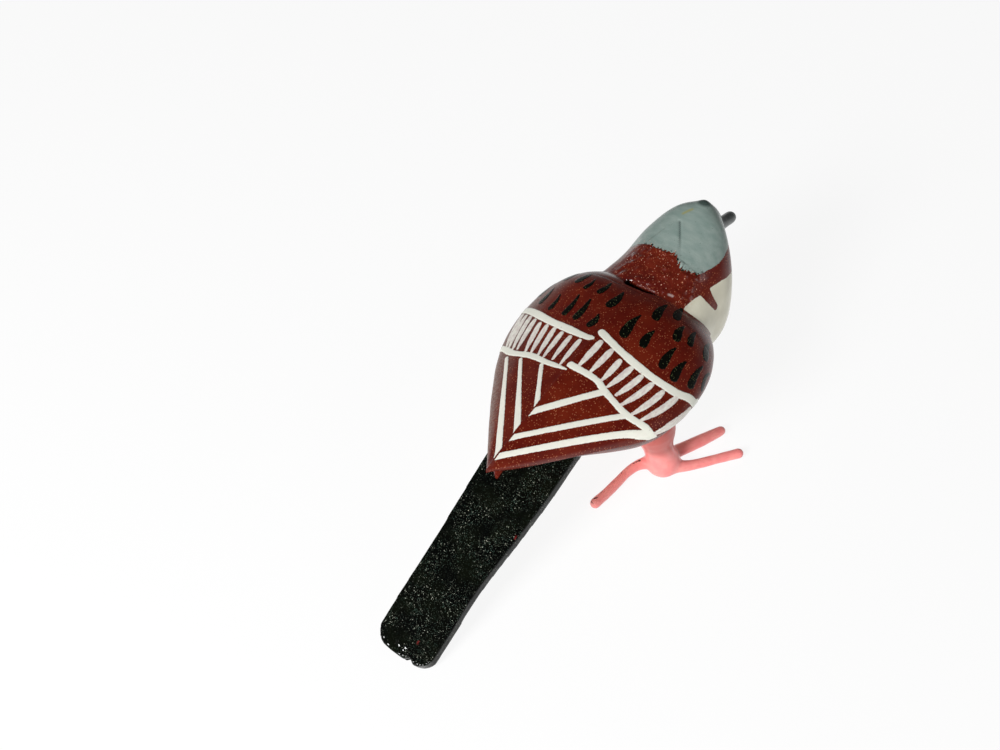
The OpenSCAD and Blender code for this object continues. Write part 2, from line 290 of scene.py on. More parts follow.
def white_coat(p):
    """White of the strokes: thin and streaky where the field full is 0."""
    brush = p.noise(0.45, 3, stretch=(0.6, 0.35, 1))
    thin = p.mix(p.ramp(brush, 0.35, 0.65), rgb(214, 202, 196), rgb(234, 232, 222))
    thick = p.mix(p.ramp(brush, 0.66, 0.8, 0, 0.6), rgb(232, 232, 220), rgb(150, 142, 132))
    return p.mix(p.attribute("full"), thin, thick)


def body_paint():
    """All the paint of the body, wings and head, placed by the fields that paint_fields() writes."""
    p = Paint("body_paint")
    nape = p.attribute("nape")
    # Pale specks on the black drops: painted sparkle of the gloss coat.
    drop_painted_sparkle = p.times(p.flecks(0.4, 0.34, 0.42), 0.5)
    black = p.mix(drop_painted_sparkle, rgb(9, 10, 6), rgb(120, 130, 84))
    color = p.mix(p.ramp(p.ragged_edge("drop", 0.12), EDGE, -EDGE), brown_coat(p), black)

    cap_edge = p.ragged_edge("cap", 0.15)
    color = p.mix(p.ramp(cap_edge, -EDGE, EDGE), color, grey_coat(p))
    near_edge = p.ramp(p.math("ABSOLUTE", cap_edge), 0.6, 0.25)
    bits = p.times(near_edge, p.ramp(p.noise(0.7, 2), 0.52, 0.58))
    color = p.mix(p.times(bits, p.ramp(nape, 0.05, 0.2)), color, rgb(24, 30, 20))

    cream = p.mix(p.ramp(p.noise(7, 2), 0.35, 0.65), rgb(222, 219, 200), rgb(206, 202, 182))
    color = p.mix(p.ramp(p.ragged_edge("cheek", 0.06), -EDGE, EDGE), color, cream)
    color = p.mix(p.ramp(p.ragged_edge("stroke", 0.06), EDGE, -EDGE), color, white_coat(p))

    # Pale pink specks on the nape: painted sparkle, highlights of its glossy dabs painted into the colour.
    nape_painted_sparkle = p.times(p.flecks(0.5, 0.18, 0.34), p.ramp(nape, 0.3, 1, 0, 0.85))
    color = p.mix(nape_painted_sparkle, color, rgb(232, 176, 150))
    # Near-black in the slit and the small hole at the neck joint: painted shade in the recesses.
    color = p.mix(p.attribute("shaded_pit"), color, rgb(8, 4, 3))
    color = p.mix(p.attribute("ochre"), color, rgb(150, 146, 84))
    # A small off-white streak beside the hole at the neck: a painted highlight.
    color = p.mix(p.attribute("painted_glint"), color, rgb(246, 240, 234))
    p.feed("Base Color", color)

    shine = p.ramp(p.attribute("shaded_pit"), 0, 1, 1, 0)
    p.gloss(0.27, coat_roughness=0.08)
    p.feed("Coat Weight", p.times(shine, p.ramp(nape, 0, 1, 0.08, 0.9)))
    p.feed("Specular IOR Level", p.times(shine, 0.15))
    grain = p.plus(p.noise(0.32, 2), p.times(p.noise(1.8, 2), 1.4))
    dabs = p.times(p.noise(0.7, 2), p.times(nape, 6.0))
    p.bump(p.plus(grain, dabs), 0.03)
    return p.material


def tail_paint():
    """Black with fine and coarse pale specks of painted sparkle in patches, two red marks and wet gloss on the
    drops of paint.
    """
    p = Paint("tail_paint")
    # Both sizes of pale speck are painted sparkle: glints of the glossy black painted into the colour.
    fine = p.flecks(0.27, 0.5, 0.45)
    coarse = p.flecks(0.42, 0.16, 0.36)
    patch = p.ramp(p.noise(6, 2), 0.38, 0.62, 0.15, 1)
    tint = p.mix(p.ramp(p.noise(1.1, 1), 0.4, 0.6), rgb(120, 128, 112), rgb(92, 116, 104))
    color = p.mix(p.ramp(p.noise(5, 2), 0.4, 0.7), rgb(5, 6, 5), rgb(10, 13, 7))
    color = p.mix(p.times(p.times(fine, patch), 0.5), color, tint)
    color = p.mix(p.times(p.times(coarse, patch), 0.8), color, rgb(176, 180, 164))
    color = p.mix(p.attribute("red"), color, rgb(170, 50, 50))
    p.feed("Base Color", color)
    p.gloss(0.2, coat_roughness=0.06)
    p.feed("Coat Weight", p.ramp(p.attribute("wet"), 0, 1, 0.04, 1))
    p.set("Specular IOR Level", 0.06)
    p.bump(p.plus(p.noise(0.5, 2), p.times(p.noise(2.5, 2), 2.0)), 0.025)
    return p.material


def foot_paint():
    """Pink, with dirt, darker shaded places and chips down to dark metal."""
    p = Paint("foot_paint")
    color = p.mix(p.ramp(p.noise(3, 2), 0.35, 0.65), rgb(248, 140, 138), rgb(252, 156, 150))
    color = p.mix(p.ramp(p.noise(0.9, 3), 0.62, 0.75, 0, 0.35), color, rgb(226, 150, 120))
    color = p.mix(p.attribute("shade"), color, rgb(176, 76, 66))
    color = p.mix(p.ramp(p.ragged_edge("chip", 0.25, 0.45), 0.06, -0.06), color, rgb(50, 24, 20))
    p.feed("Base Color", color)
    p.gloss(0.3, coat=0.2, coat_roughness=0.06)
    p.set("Specular IOR Level", 0.3)
    p.bump(p.noise(1.4, 2), 0.04)
    return p.material


def beak_paint():
    p = Paint("beak_paint")
    color = p.mix(p.ramp(p.noise(1.3, 3), 0.35, 0.65), rgb(62, 67, 67), rgb(78, 84, 83))
    p.feed("Base Color", color)
    p.gloss(0.4, coat=0.4, coat_roughness=0.2)
    p.bump(p.noise(0.8, 2), 0.04)
    return p.material


def eye_glass():
    p = Paint("eye_glass")
    p.feed("Base Color", p.mix(p.ramp(p.noise(1.2, 2), 0.4, 0.6), rgb(8, 7, 6), rgb(16, 12, 9)))
    p.gloss(0.12, coat=1.0, coat_roughness=0.03)
    return p.material


def bare_wood():
    p = Paint("bare_wood")
    grain = p.noise(0.7, 4, stretch=(1, 0.08, 1))
    p.feed("Base Color", p.mix(p.ramp(grain, 0.3, 0.7), rgb(176, 134, 88), rgb(206, 168, 120)))
    p.set("Roughness", 0.7)
    p.bump(grain, 0.04)
    return p.material


def wire_steel():
    p = Paint("wire_steel")
    p.feed("Base Color", p.mix(p.noise(0.8, 3), rgb(120, 118, 114), rgb(160, 158, 152)))
    p.set("Metallic", 1.0)
    p.set("Roughness", 0.38)
    p.bump(p.noise(0.5, 2, stretch=(1, 1, 0.1)), 0.02)
    return p.material


# --- The bird's forms, as in part.scad ---

def smooth(u):
    v = np.clip(u, 0, 1)
    return v * v * (3 - 2 * v)


def around(count):
    """Angles at even steps round a circle."""
    return np.linspace(0, 2 * np.pi, count, endpoint=False)


def half_w(y):
    """Half width of the body at y."""
    u = np.clip((y + 38) / 86, 0, 1)
    return 26 * np.maximum(np.sin(np.pi * u ** 1.27), 0) ** 0.8


def level_line(y, level, behind, ahead):
    """A level that changes behind one place along Y and ahead of another: place, amount, length, power."""
    for sign, (start, amount, length, power) in ((-1, behind), (1, ahead)):
        level = level + amount * (np.clip(sign * (y - start), 0, None) / length) ** power
    return level


def mid_h(y):
    """Level of the body's widest line at y."""
    return level_line(y, 39.5, (14, 1.4, 52, 2), (20, -13, 28, 2))


def top_h(y):
    return level_line(y, 52.3, (14, -10.8, 52, 1.6), (14, -25.4, 34, 2.8))


def bottom_h(y):
    return level_line(y, 12.5, (24, 27.8, 62, 1.25), (24, 19.5, 24, 1.8))


# Thickness of the wings, level of their lower edge, level of the joint between the two body shells, and place
# of the joint between shells and rump
WING_T = 2.2
LIP_H = 38.7
SEAM_H = 36.5
RUMP_Y = -8


def cover(y):
    """How deep the core lies under the painted surface of the wings."""
    return WING_T * (1 - smooth((y - 14) / 12))


def body_ring(y, angles, under=0.0):
    """Points of the body's surface at y: angle 0 is the ridge, 90 degrees the right side."""
    w = max(half_w(y) - 0.8 * under, 0.15)
    mid = float(mid_h(y))
    rise = max(float(top_h(y)) - mid - under, 0.15)
    drop = max(mid - float(bottom_h(y)) - 0.5 * under, 0.15)
    round_share = 0.35 + 0.65 * smooth((y + 2) / 26)
    side = np.abs(np.sin(angles))
    up = np.cos(angles)
    above = rise * ((1 - round_share) * (1 - side) + round_share * np.abs(up))
    z = mid + np.where(up >= 0, above, drop * up)
    return np.stack([w * np.sin(angles), np.full_like(angles, y), z], 1)


def on_back(side, y, share):
    """A point of the painted back: share is 0 at the ridge and 1 at the widest line."""
    angle = np.array([math.asin(min(max(share, 0), 1)) * side])
    point = body_ring(y, angle)[0]
    point[2] -= max(share - 1, 0) * 10
    return point


def on_curve(points, t):
    """Place on a smooth curve through the points, at t from 0 to the number of the last one."""
    last = len(points) - 1
    i = min(int(t), last - 1)
    f = t - i
    p0, p1, p2, p3 = (points[min(max(k, 0), last)] for k in range(i - 1, i + 3))
    return 0.5 * (2 * p1 + (p2 - p0) * f + (2 * p0 - 5 * p1 + 4 * p2 - p3) * f ** 2
                  + (3 * p1 - p0 - 3 * p2 + p3) * f ** 3)


def curve_points(points, count):
    """A smooth curve through the points, as count points."""
    points = np.array(points, float)
    return np.array([on_curve(points, t) for t in np.linspace(0, len(points) - 1, count)])


# Place along Y, half width, level of the widest line, top and bottom of the neck and head
HEAD_ROWS = np.array([
    [22, 16.6, 39.5, 48.2, 17], [31, 16.2, 38.2, 51.6, 16.4],
    [38, 15.4, 37, 54.9, 17], [45, 15, 36.4, 58.5, 20.5],
    [51, 11.9, 38.6, 61.2, 29], [55.4, 6.4, 45, 60.2, 40],
    [58.2, 3.4, 50, 56.2, 46], [59.5, 0.4, 51.2, 51.6, 50.8],
])
HEAD_TABLE = curve_points(HEAD_ROWS, 200)


def head_ring(t, angles):
    """Points of the head's surface at row t of HEAD_ROWS, squarer than an ellipse above the widest line."""
    y, w, mid, top, bottom = on_curve(HEAD_ROWS, t)
    across, up = np.sin(angles), np.cos(angles)
    square = np.where(up < 0, 1, np.where(across > 0, 0.92, 0.77))
    across = np.sign(across) * np.abs(across) ** square
    up = np.sign(up) * np.abs(up) ** square
    z = mid + up * np.where(up >= 0, top - mid, mid - bottom)
    return np.stack([w * across, np.full_like(angles, y), z], 1)


def head_angle(points):
    """Angle round the neck and head of each point, in degrees: 0 at the crown, 90 at the right side."""
    w, mid, top, bottom = (np.interp(points[:, 1], HEAD_TABLE[:, 0], HEAD_TABLE[:, k]) for k in range(1, 5))
    rise = points[:, 2] - mid
    share = rise / np.where(rise > 0, top - mid, mid - bottom)
    return np.degrees(np.arctan2(points[:, 0] / w, share))


def lumps(points, size):
    """A smooth unevenness from about -1 to 1 at each point, whose hollows lie about size apart."""
    x, y, z = (points / size * 2.0).T
    return (np.sin(x * 1.3 + 0.7 * np.sin(y * 1.1 + 1.0)) * np.cos(y * 0.9 + 0.8 * np.sin(z * 1.2))
            + np.sin(z * 1.4 + 1.7 + 0.6 * np.sin(x * 1.7)) * np.cos(x * 0.6 - y * 0.8 + 2.0)) * 0.5


def swelling(points):
    """The left shoulder and the right flank are fuller than their opposites."""
    shoulder = np.linalg.norm(points - (-14, 22.5, 46.5), axis=1)
    flank = np.linalg.norm(points - (22, -1, 35), axis=1)
    return 1.1 * np.exp(-(shoulder / 9) ** 2) + 1.6 * np.exp(-(flank / 11) ** 2)


def unevenness(points):
    """How far the carved body stands off its regular form."""
    return 0.10 * lumps(points, 9) + 0.03 * lumps(points, 3) + swelling(points)


def segment_distance(points, path, radii):
    """Distance of each point to the edge of a stroke along a path with a radius at each of its points."""
    path = np.asarray(path, float)
    best = np.full(len(points), 99.0)
    for a, b, ra, rb in zip(path[:-1], path[1:], radii[:-1], radii[1:]):
        d = b - a
        t = np.clip((points - a) @ d / max(d @ d, 1e-9), 0, 1)
        gap = np.linalg.norm(points - a - t[:, None] * d, axis=1) - (ra + (rb - ra) * t)
        best = np.minimum(best, gap)
    return best


# --- Painted strokes on the back ---

# Bands: points as (share of the half width, place along Y), from the ridge outwards
UPPER_BAND = {
    1: [(0.03, 7.0), (0.3, 6.1), (0.6, 6.2), (0.85, 7.6), (0.96, 9.8), (1.04, 12.2)],
    -1: [(0.0, 4.4), (0.08, 4.1), (0.35, 5.1), (0.6, 6.3), (0.93, 9.2), (1.0, 10.2)],
}
LOWER_BAND = {
    1: [(0.01, -5.2), (0.3, -3.9), (0.45, -4.6), (0.72, -5.4), (0.85, -5.1), (1.0, -3.7), (1.12, -2.6)],
    -1: [(0.0, -6.9), (0.3, -6.3), (0.55, -5.4), (0.8, -5.5), (0.95, -4.2), (1.0, -3.8)],
}
# Chevrons: side, place on the ridge, outer end as x and y, radius at the ridge and at the outer end
CHEVRONS = [
    (1, -34.2, 22.4, -4.2, 0.72, 0.85), (-1, -33.4, 17.8, -7.2, 0.95, 0.50),
    (1, -28.7, 16.7, -6.0, 0.66, 0.72), (-1, -26.1, 13.6, -7.0, 0.90, 0.45),
    (1, -20.8, 9.9, -5.0, 0.78, 0.80), (-1, -18.4, 6.9, -7.4, 0.66, 0.50),
]
# Drops: side, share of the half width, place of the narrow front end, length, radius of the round end
DROPS = [
    (1, 0.19, 17.6, 8.2, 1.15), (1, 0.39, 16.3, 5.8, 1.0), (1, 0.64, 16.3, 6.8, 1.0),
    (1, 0.78, 15.6, 6.4, 1.05), (1, 0.92, 18.9, 7.4, 0.95), (1, 0.32, 26.2, 7.2, 1.05),
    (1, 0.49, 29.5, 6.0, 1.05), (1, 0.60, 23.4, 5.6, 1.05), (1, 0.735, 25.3, 5.6, 0.85),
    (1, 0.915, 27.4, 6.6, 1.1), (1, 0.995, 20.9, 6.0, 0.9),
    (-1, 0.125, 21.6, 6.6, 1.1), (-1, 0.14, 11.7, 4.6, 0.95), (-1, 0.33, 15.1, 7.0, 0.95),
    (-1, 0.47, 15.5, 7.0, 0.8), (-1, 0.66, 14.3, 5.0, 0.7), (-1, 0.32, 22.8, 5.0, 0.75),
    (-1, 0.48, 21.7, 4.0, 0.6), (-1, 0.82, 17.0, 6.0, 0.8), (-1, 0.62, 25.0, 6.0, 0.9),
    (-1, 0.80, 25.5, 5.6, 0.9), (-1, 0.93, 20.5, 6.4, 0.9),
]
# Ticks between the bands: how many, share of the first, step to the next, and how fast the steps shrink
TICKS = {1: (9, 0.08, 0.130, 0.0018), -1: (10, 0.11, 0.13, 0.0042)}


def band_y(band, side, share):
    points = np.array(band[side])
    return float(np.interp(share, points[:, 0], points[:, 1]))


def band_stroke(band, side, radius):
    path = curve_points(band[side], 26)
    steps = np.arange(len(path))
    radii = radius + 0.05 * np.sin(steps * 0.9 + side) + 0.03 * np.sin(steps * 2.3)
    if side < 0:
        radii = radii * np.interp(steps, [0, 3, 8], [0.3, 0.75, 1])
    return [on_back(side, y, share) for share, y in path], radii


def tick_strokes(side):
    count, first, step, closing = TICKS[side]
    for i in range(count):
        share = first + step * i - closing * i * i
        start = band_y(UPPER_BAND, side, share) - 1.9 + random.uniform(-0.25, 0.25)
        end = band_y(LOWER_BAND, side, share) + 1.2 + random.uniform(-0.4, 0.4)
        lean = random.uniform(-0.02, 0.02)
        steps = np.linspace(0, 1, 9)
        path = [on_back(side, start + (end - start) * t, share + lean * t) for t in steps]
        yield path, np.interp(steps, [0, 0.15, 0.6, 1], [0.62, 0.80, 0.74, 0.34])


def chevron_stroke(side, ridge_y, x, y, ridge_r, outer_r):
    steps = np.linspace(-0.06, 1, 22)
    path = []
    for t in steps:
        place = ridge_y + (y - ridge_y) * t
        path.append(on_back(side if t > 0 else -side, place, x * abs(t) / float(half_w(place))))
    return path, ridge_r + (outer_r - ridge_r) * steps + 0.03 * np.sin(steps * 9 + ridge_y)


def white_strokes():
    """Every white stroke as (path, radii, how full its paint is, the side it stops on)."""
    for side in (1, -1):
        for band, radius in ((UPPER_BAND, 1.02), (LOWER_BAND, 0.88)):
            yield *band_stroke(band, side, radius), 1.0, 0
        for path, radii in tick_strokes(side):
            yield path, radii, 0.0, 0
    for chevron in CHEVRONS:
        yield *chevron_stroke(*chevron), 0.8, chevron[0]


def drop_stroke(side, share, front, length, radius):
    steps = np.linspace(0, 1, 8)
    path = [on_back(side, front - (length - radius) * t, share - 0.015 * math.sin(3 * t)) for t in steps]
    return path, np.interp(steps, [0, 0.4, 0.8, 1], [0.28, 0.78 * radius, 1.18 * radius, 1.1 * radius])


WHITE = list(white_strokes())
BLACK = [drop_stroke(*drop) for drop in DROPS]


# --- Colour borders on the head, in degrees round the head against the place along Y ---

BRISTLES = random.uniform(-1, 1, 150)
MM_PER_DEGREE = 0.27


def nape_border(angle):
    """Where along Y the grey cap ends at the back: ragged, because it is dabbed on with a brush."""
    base = np.interp(angle, [-36, -23, -10, 1, 8, 14, 20, 27, 34],
                     [39.4, 38.6, 38.0, 38.6, 38.0, 36.6, 36.6, 37.5, 38.7])
    return base + 0.65 * np.interp(angle, np.linspace(-50, 50, len(BRISTLES)), BRISTLES)


def cap_border(y):
    """Lower side border of the grey cap, above the brown stripe through the eye."""
    return np.interp(y, [38.7, 40.6, 45, 48, 51, 56, 60], [34, 37, 43, 46, 49, 52, 52])


def cheek_border(y):
    """Upper border of the white cheek, below the stripe."""
    return np.interp(y, [30, 33, 35, 39, 43.4, 47, 50.2, 54, 60], [38, 41, 44, 49, 54, 60, 67, 74, 74])


# The joint between shoulders and neck: a plane through (JOINT_Y, JOINT_Z), square to (JOINT_RUN, JOINT_RISE)
JOINT_Y, JOINT_Z = 27.5, 50.5
JOINT_RUN, JOINT_RISE = 13, 8
JOINT_NORMAL_LENGTH = 15.26


def ahead_of_joint(points):
    """How far a point lies ahead of the slanting joint between the shoulders and the neck."""
    return ((points[:, 1] - JOINT_Y) * JOINT_RUN + (points[:, 2] - JOINT_Z) * JOINT_RISE) / JOINT_NORMAL_LENGTH


# Marks of wear and of loose paint, with the slit and the small hole at the neck joint, whose near-black fill
# is painted shade, and a painted highlight beside the hole
SLIT = [(-5.6, 27.2, 49.7), (-4.6, 26.6, 49.8), (-2.6, 26.5, 50.0), (0, 26.9, 50.2), (2.4, 27.7, 50.2)]
SLIT_RADII = np.array([0.7, 1.2, 1.0, 0.8, 0.2])
PIT = (6.6, 29.6, 48.9)
# Painted highlight: a short streak beside the hole at the neck joint.
PAINTED_GLINT = [(5.5, 29.5, 48.9), (6.6, 29.8, 48.8)]
CRACK = [(-2.9, 46.1, 58.8), (2.1, 39.1, 55.6)]
OCHRE = [(-3.4, 48.2, 59.6), (-1.9, 50.0, 60.6)]
SCRATCHES = [((-5.6, 43.2, 56.1), (-7.8, 39.7, 53.1)), ((-7.0, 43.6, 55.2), (-8.6, 41.6, 53.0))]
SMEAR = [(0.5, 54.5, 60.6), (3.6, 56.4, 56.5), (2.4, 58.4, 52.4)]
NUB = (-0.6, 53.6, 61.8)
SEEN_FROM_ABOVE = np.array([1, 1, 0.2])


def distance_from_above(points, path, radii):
    """segment_distance() with little weight on height, for marks on a surface that is lifted."""
    return segment_distance(points * SEEN_FROM_ABOVE, np.array(path) * SEEN_FROM_ABOVE, radii)


def stroke_fields(points):
    """Distances to the edges of the white strokes and the black drops, and how full the nearest white is."""
    fields = {name: np.full(len(points), 5.0) for name in ("stroke", "drop")}
    fields["full"] = np.zeros(len(points))
    upper = points[:, 2] > LIP_H - 1.2
    top = points[upper]
    nearest = np.full(len(top), 5.0)
    fullness = np.zeros(len(top))
    for path, radii, full, side in WHITE:
        gap = segment_distance(top, path, radii)
        if side:
            gap = np.maximum(gap, 0.14 - top[:, 0] * side)
        fullness = np.where(gap < nearest, full, fullness)
        nearest = np.minimum(nearest, gap)
    fields["stroke"][upper] = nearest
    fields["full"][upper] = fullness
    fields["drop"][upper] = np.minimum.reduce([segment_distance(top, path, radii) for path, radii in BLACK])
    return fields


def cap_field(y, angle, ahead):
    """How far each point lies inside the grey cap, which reaches further down on the left."""
    behind_cap = y - nape_border(angle)
    under_cap = (cap_border(y) - np.abs(angle)) * MM_PER_DEGREE
    left_under_cap = (62 + angle) * MM_PER_DEGREE
    left_streaks = np.maximum(y - 38.5, -(angle + 50) * MM_PER_DEGREE)
    left_behind = np.minimum(left_streaks, y - 33 + 0.8 * np.sin(angle * 1.3))
    right_cap = np.minimum(behind_cap, under_cap)
    left_cap = np.minimum(np.maximum(behind_cap, left_behind), left_under_cap)
    return np.minimum(np.where(angle > 0, right_cap, left_cap), ahead)


def cheek_field(points, angle, ahead):
    """How far each point lies inside the white of the cheeks, breast and belly."""
    y = points[:, 1]
    right_cheek = (angle - cheek_border(y)) * MM_PER_DEGREE
    left_cheek = (-angle - np.maximum(cheek_border(y), 62)) * MM_PER_DEGREE
    cheek = np.minimum(np.maximum(right_cheek, left_cheek), ahead - 0.3)
    border = np.interp(y, [8, 22], [31.5, 36.9]) + 0.5 * np.sin(y * 0.4)
    belly = np.minimum(border - points[:, 2], (y + 24) * 0.5)
    dash = [segment_distance(points, side_dash(side), (1.9, 1.5, 1.2, 0.9)) for side in (1, -1)]
    return np.minimum(np.maximum(cheek, belly), np.minimum(*dash))


def mark_fields(points, angle, ahead):
    """Marks and wear, with painted sheen, painted shade and a painted highlight, each from 0 to 1."""
    y = points[:, 1]
    fields = {}
    left_share = -points[:, 0] / np.maximum(half_w(y), 1)
    # Painted sheen: where the left shoulder and the left of the neck turn away, a pale reflection is painted
    # in.
    wing_painted_sheen = smooth((left_share - 0.62) / 0.45) * smooth((32 - y) / 4) * (points[:, 2] > LIP_H - 3)
    neck_painted_sheen = smooth((-angle - 36) / 14) * smooth((y - 31) / 3) * smooth((44 - y) / 4) * (angle > -85)
    fields["painted_sheen"] = np.maximum(wing_painted_sheen, neck_painted_sheen)

    # Painted shade: the slit and the small hole at the neck joint are filled with near-black.
    slit = distance_from_above(points, SLIT, SLIT_RADII)
    shaded_pit = np.linalg.norm(points - PIT, axis=1)
    fields["shaded_pit"] = np.clip(0.5 - slit / 0.35, 0, 1) + np.clip(1.2 - shaded_pit, 0, 1) * 0.6
    crack = segment_distance(points, CRACK, (0.1, 0.1))
    nub = np.linalg.norm(points - NUB, axis=1) - 1.5
    fields["line"] = np.clip(np.maximum(0.8 - crack / 0.3, 0.8 - nub / 0.9), 0, 1)

    off_nape = np.maximum(np.maximum(-ahead - 0.2, y - nape_border(angle) - 0.3), (np.abs(angle) - 40) * 0.3)
    fields["nape"] = smooth(1 - off_nape / 1.5)
    fields["painted_glint"] = np.clip(0.8 - distance_from_above(points, PAINTED_GLINT, (0.15, 0.1)) / 0.4, 0, 1)
    fields["ochre"] = np.clip(0.5 - distance_from_above(points, OCHRE, (0.3, 0.3)) / 0.4, 0, 1) * 0.8
    scratch = np.minimum.reduce([distance_from_above(points, s, (0.1, 0.2)) for s in SCRATCHES])
    edge = segment_distance(points, SMEAR, (0.5, 0.8, 1.0))
    fields["smear"] = np.clip(np.maximum(0.5 - scratch / 0.4, 0.9 - edge / 1.2), 0, 1)
    return fields


def paint_fields(points):
    """What body_paint() reads at each point: distances in millimetres, and marks from 0 to 1."""
    angle = head_angle(points)
    ahead = ahead_of_joint(points)
    fields = {**stroke_fields(points), **mark_fields(points, angle, ahead)}
    fields["cap"] = cap_field(points[:, 1], angle, ahead)
    fields["cheek"] = cheek_field(points, angle, ahead)
    return fields


def side_dash(side):
    """Centre line of the brown dash that hangs from the stripe into the cheek."""
    out = []
    for y, angle in ((37.2, 46), (37.4, 53), (38.0, 60), (38.9, 67)):
        w, mid, top = (float(np.interp(y, HEAD_TABLE[:, 0], HEAD_TABLE[:, k])) for k in (1, 2, 3))
        a = math.radians(angle)
        out.append((side * w * math.sin(a), y, mid + (top - mid) * math.cos(a)))
    return out


# --- Making meshes ---

def in_frame(points):
    return (np.asarray(points, float) + (0, SHIFT_Y, 0)) * MM


def make_object(name, points, faces):
    """A mesh object from points in the bird's frame."""
    mesh = bpy.data.meshes.new(name)
    mesh.from_pydata(in_frame(points).tolist(), [], faces)
    mesh.validate()
    obj = bpy.data.objects.new(name, mesh)
    bpy.context.scene.collection.objects.link(obj)
    return obj


def points_of(obj):
    flat = np.zeros(len(obj.data.vertices) * 3)
    obj.data.vertices.foreach_get("co", flat)
    return flat.reshape(-1, 3) / MM - (0, SHIFT_Y, 0)


def normals_of(obj):
    flat = np.zeros(len(obj.data.vertices) * 3)
    obj.data.vertex_normals.foreach_get("vector", flat)
    return flat.reshape(-1, 3)


def move_points(obj, points):
    obj.data.vertices.foreach_set("co", in_frame(points).ravel())
    obj.data.update()


def loft(name, rings):
    """A closed solid through rings of the same number of points, with flat ends and its faces outwards."""
    n = len(rings[0])
    m = len(rings)
    faces = [(j * n + i, j * n + (i + 1) % n, (j + 1) * n + (i + 1) % n, (j + 1) * n + i)
             for j in range(m - 1) for i in range(n)]
    faces.append(tuple(range(n - 1, -1, -1)))
    faces.append(tuple(range((m - 1) * n, m * n)))
    obj = make_object(name, np.concatenate(rings), faces)
    shape = bmesh.new()
    shape.from_mesh(obj.data)
    if shape.calc_volume(signed=True) < 0:
        obj.data.flip_normals()
    shape.free()
    return obj


def bake(obj):
    """Applies the modifiers."""
    bpy.context.view_layer.update()
    graph = bpy.context.evaluated_depsgraph_get()
    mesh = bpy.data.meshes.new_from_object(obj.evaluated_get(graph))
    obj.modifiers.clear()
    obj.data = mesh
    return obj


def combine(obj, other, operation, keep=False):
    modifier = obj.modifiers.new("combine", "BOOLEAN")
    modifier.operation = operation
    modifier.object = other
    modifier.solver = "MANIFOLD"
    bake(obj)
    if not keep:
        bpy.data.objects.remove(other)


def cut(obj, cutter):
    combine(obj, cutter, "DIFFERENCE")


def trim(obj, limit, keep=False):
    combine(obj, limit, "INTERSECT", keep)


def join(obj, other):
    combine(obj, other, "UNION")


def remesh(obj, size):
    modifier = obj.modifiers.new("remesh", "REMESH")
    modifier.mode = "VOXEL"
    modifier.voxel_size = size * MM
    return bake(obj)


def copy_of(obj, name):
    other = obj.copy()
    other.data = obj.data.copy()
    other.name = name
    bpy.context.scene.collection.objects.link(other)
    return other


def box_between(low, high):
    """A box in the bird's frame."""
    corners = [(x, y, z) for x in (low[0], high[0]) for y in (low[1], high[1]) for z in (low[2], high[2])]
    faces = [(0, 1, 3, 2), (4, 6, 7, 5), (0, 4, 5, 1), (2, 3, 7, 6), (0, 2, 6, 4), (1, 5, 7, 3)]
    return make_object("cutter", corners, faces)


def relax(obj, weight, rounds):
    """Smooths the mesh where weight is above 0, by moving each point towards the middle of its neighbours."""
    points = points_of(obj)
    edges = np.zeros(len(obj.data.edges) * 2, int)
    obj.data.edges.foreach_get("vertices", edges)
    a, b = edges.reshape(-1, 2).T
    count = np.bincount(np.concatenate([a, b]), minlength=len(points))
    for _ in range(rounds):
        total = np.stack([
            np.bincount(np.concatenate([a, b]), weights=np.concatenate([points[b, k], points[a, k]]),
                        minlength=len(points))
            for k in range(3)], 1)
        points = points + weight[:, None] * (total / count[:, None] - points)
    move_points(obj, points)


def finish_piece(obj, material, slot, *nodes, sharp=50):
    """Gives a piece its material and smooth shading, hangs it on the root, and hides the CAD nodes that it
    stands for.
    """
    obj.data.materials.clear()
    obj.data.materials.append(material)
    obj.data.shade_smooth()
    obj.data.set_sharp_from_angle(angle=math.radians(sharp))
    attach(obj, "root")
    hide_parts(*nodes)
    return obj


def write_fields(obj, fields):
    for name, values in fields.items():
        layer = obj.data.attributes.new(name, "FLOAT", "POINT")
        layer.data.foreach_set("value", values.astype(np.float32))


# --- Body, neck and head ---

RING = 200
VOXEL = 0.32
DABS = 110
TAIL_HALF_W = 10.2


def make_core():
    """The body under the wings together with the neck and head, smoothed where they meet."""
    angles = around(RING)
    places = -38 + 86 * np.linspace(0.004, 0.996, 150)
    body = loft("core", [body_ring(y, angles, float(cover(y))) for y in places])
    head = loft("head", [head_ring(t, angles) for t in np.linspace(0, 7, 150)])
    join(body, head)
    remesh(body, VOXEL)
    points = points_of(body)
    near_joint = np.exp(-(ahead_of_joint(points) / 1.7) ** 2) * (points[:, 2] > 20)
    relax(body, np.full(len(points), 0.25), 3)
    relax(body, 0.5 * near_joint, 14)

    points = points_of(body)
    normals = normals_of(body)
    lift = unevenness(points)
    angle = head_angle(points)
    nape = (ahead_of_joint(points) > -0.5) & (points[:, 1] < 38) & (np.abs(angle) < 40)
    dabs = [random.uniform(low, high, DABS) for low, high in ((-10, 11), (28, 38.5), (0.35, 0.9))]
    for x, y, size in zip(*dabs):
        gap = np.hypot(points[:, 0] - x, points[:, 1] - y)
        lift += nape * 0.30 * size * np.exp(-(gap / size) ** 2)
    bump = np.linalg.norm((points - (-0.6, 53.4, 60.6)) / (1.7, 1.9, 1.5), axis=1)
    lift += 1.1 * np.exp(-bump ** 2)
    crack = segment_distance(points, CRACK, (0, 0))
    lift -= 0.22 * np.exp(-(crack / 0.4) ** 2)
    lift -= 0.9 * np.exp(-(np.linalg.norm(points - PIT, axis=1) / 0.8) ** 2)
    points = points + normals * lift[:, None]
    slit = np.maximum(segment_distance(points, SLIT, SLIT_RADII - 0.2), 0)
    points[:, 2] -= 2.6 * np.exp(-(slit / 0.35) ** 2)
    move_points(body, points)
    return body


